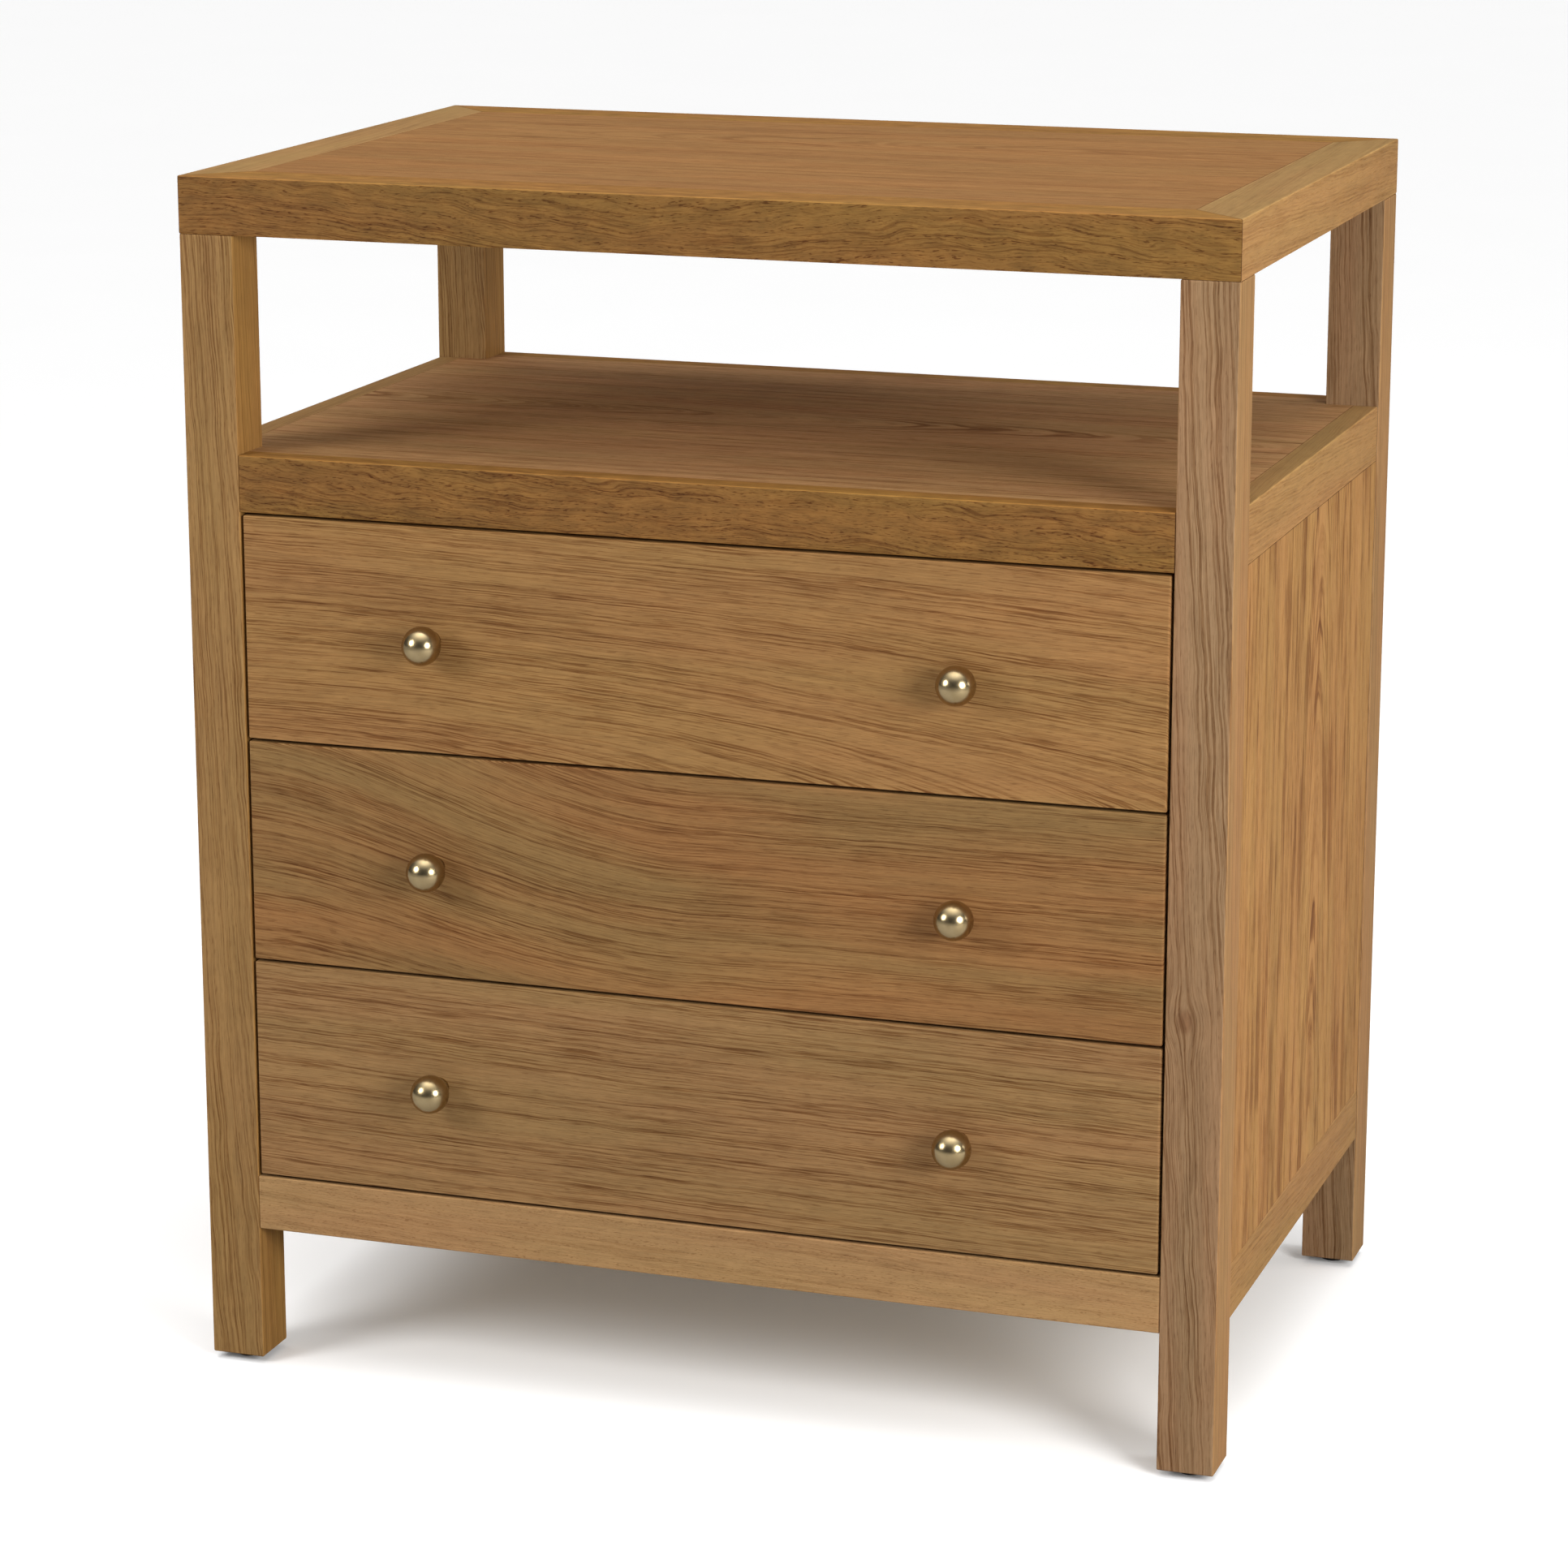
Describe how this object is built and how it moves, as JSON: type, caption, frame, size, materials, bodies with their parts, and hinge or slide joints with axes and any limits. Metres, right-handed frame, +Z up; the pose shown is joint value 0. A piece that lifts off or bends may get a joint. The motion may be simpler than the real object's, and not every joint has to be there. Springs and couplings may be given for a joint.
{
  "type": "chest of drawers",
  "caption": "Low oak chest: square full-height legs, thick framed top, open shelf bay below it, inset drawers on telescopic runners with ball knobs.",
  "frame": {"origin": "middle of the overall footprint, knobs included, on the floor", "axes": "+X to the right as the drawers are faced, +Y to the back, +Z up"},
  "size_m": [0.711, 0.5, 0.82],
  "materials": {
    "oak_rails": "oak, clear satin lacquer",
    "oak_legs": "oak, clear satin lacquer",
    "oak_veneer_panels": "oak veneer, clear satin lacquer",
    "oak_veneer_drawer_fronts": "oak veneer, clear satin lacquer",
    "birch": "birch, clear matt lacquer",
    "beech": "beech, unfinished",
    "polished_brass": "polished, pale gold",
    "steel": "zinc-plated",
    "black_plastic": "moulded, matt"
  },
  "bodies": {
    "cabinet": {"top_front_rail": "oak_rails", "top_back_rail": "oak_rails", "top_left_rail": "oak_rails", "top_right_rail": "oak_rails", "top_panel": "oak_veneer_panels", "leg_front_left": "oak_legs", "leg_front_right": "oak_legs", "leg_back_left": "oak_legs", "leg_back_right": "oak_legs", "shelf_front_rail": "oak_rails", "shelf_back_rail": "oak_rails", "shelf_left_rail": "oak_rails", "shelf_right_rail": "oak_rails", "shelf_panel": "oak_veneer_panels", "side_panel_left": "oak_veneer_panels", "side_panel_right": "oak_veneer_panels", "back_panel": "oak_veneer_panels", "dust_panel": "birch", "bottom_front_rail": "oak_rails", "bottom_back_rail": "oak_rails", "bottom_left_rail": "oak_rails", "bottom_right_rail": "oak_rails", "leg_glides": "black_plastic", "frame_dowels": "beech", "runner_battens": "beech", "runner_screws": "steel", "runner_1_cabinet_members": "steel", "runner_2_cabinet_members": "steel", "runner_3_cabinet_members": "steel"},
    "drawer_1": {"drawer_1_front": "oak_veneer_drawer_fronts", "drawer_1_left_side": "birch", "drawer_1_right_side": "birch", "drawer_1_back": "birch", "drawer_1_bottom": "birch", "drawer_1_left_knob": "polished_brass", "drawer_1_right_knob": "polished_brass", "drawer_1_screws": "steel", "drawer_1_runner_members": "steel"},
    "runner_1_middle": {"runner_1_middle_members": "steel"},
    "drawer_2": {"drawer_2_front": "oak_veneer_drawer_fronts", "drawer_2_left_side": "birch", "drawer_2_right_side": "birch", "drawer_2_back": "birch", "drawer_2_bottom": "birch", "drawer_2_left_knob": "polished_brass", "drawer_2_right_knob": "polished_brass", "drawer_2_screws": "steel", "drawer_2_runner_members": "steel"},
    "runner_2_middle": {"runner_2_middle_members": "steel"},
    "drawer_3": {"drawer_3_front": "oak_veneer_drawer_fronts", "drawer_3_left_side": "birch", "drawer_3_right_side": "birch", "drawer_3_back": "birch", "drawer_3_bottom": "birch", "drawer_3_left_knob": "polished_brass", "drawer_3_right_knob": "polished_brass", "drawer_3_screws": "steel", "drawer_3_runner_members": "steel"},
    "runner_3_middle": {"runner_3_middle_members": "steel"}
  },
  "joints": [
    {"name": "drawer_1_slide", "type": "slide", "parent": "cabinet", "child": "drawer_1", "axis": [0, -1, 0], "range_m": [0, 0.4]},
    {"name": "runner_1_middle_slide", "type": "slide", "parent": "cabinet", "child": "runner_1_middle", "axis": [0, -1, 0], "range_m": [0, 0.2]},
    {"name": "drawer_2_slide", "type": "slide", "parent": "cabinet", "child": "drawer_2", "axis": [0, -1, 0], "range_m": [0, 0.4]},
    {"name": "runner_2_middle_slide", "type": "slide", "parent": "cabinet", "child": "runner_2_middle", "axis": [0, -1, 0], "range_m": [0, 0.2]},
    {"name": "drawer_3_slide", "type": "slide", "parent": "cabinet", "child": "drawer_3", "axis": [0, -1, 0], "range_m": [0, 0.4]},
    {"name": "runner_3_middle_slide", "type": "slide", "parent": "cabinet", "child": "runner_3_middle", "axis": [0, -1, 0], "range_m": [0, 0.2]}
  ],
  "couplings": [
    {"joint": "runner_1_middle_slide", "follows": "drawer_1_slide", "ratio": 0.5},
    {"joint": "runner_2_middle_slide", "follows": "drawer_2_slide", "ratio": 0.5},
    {"joint": "runner_3_middle_slide", "follows": "drawer_3_slide", "ratio": 0.5}
  ]
}
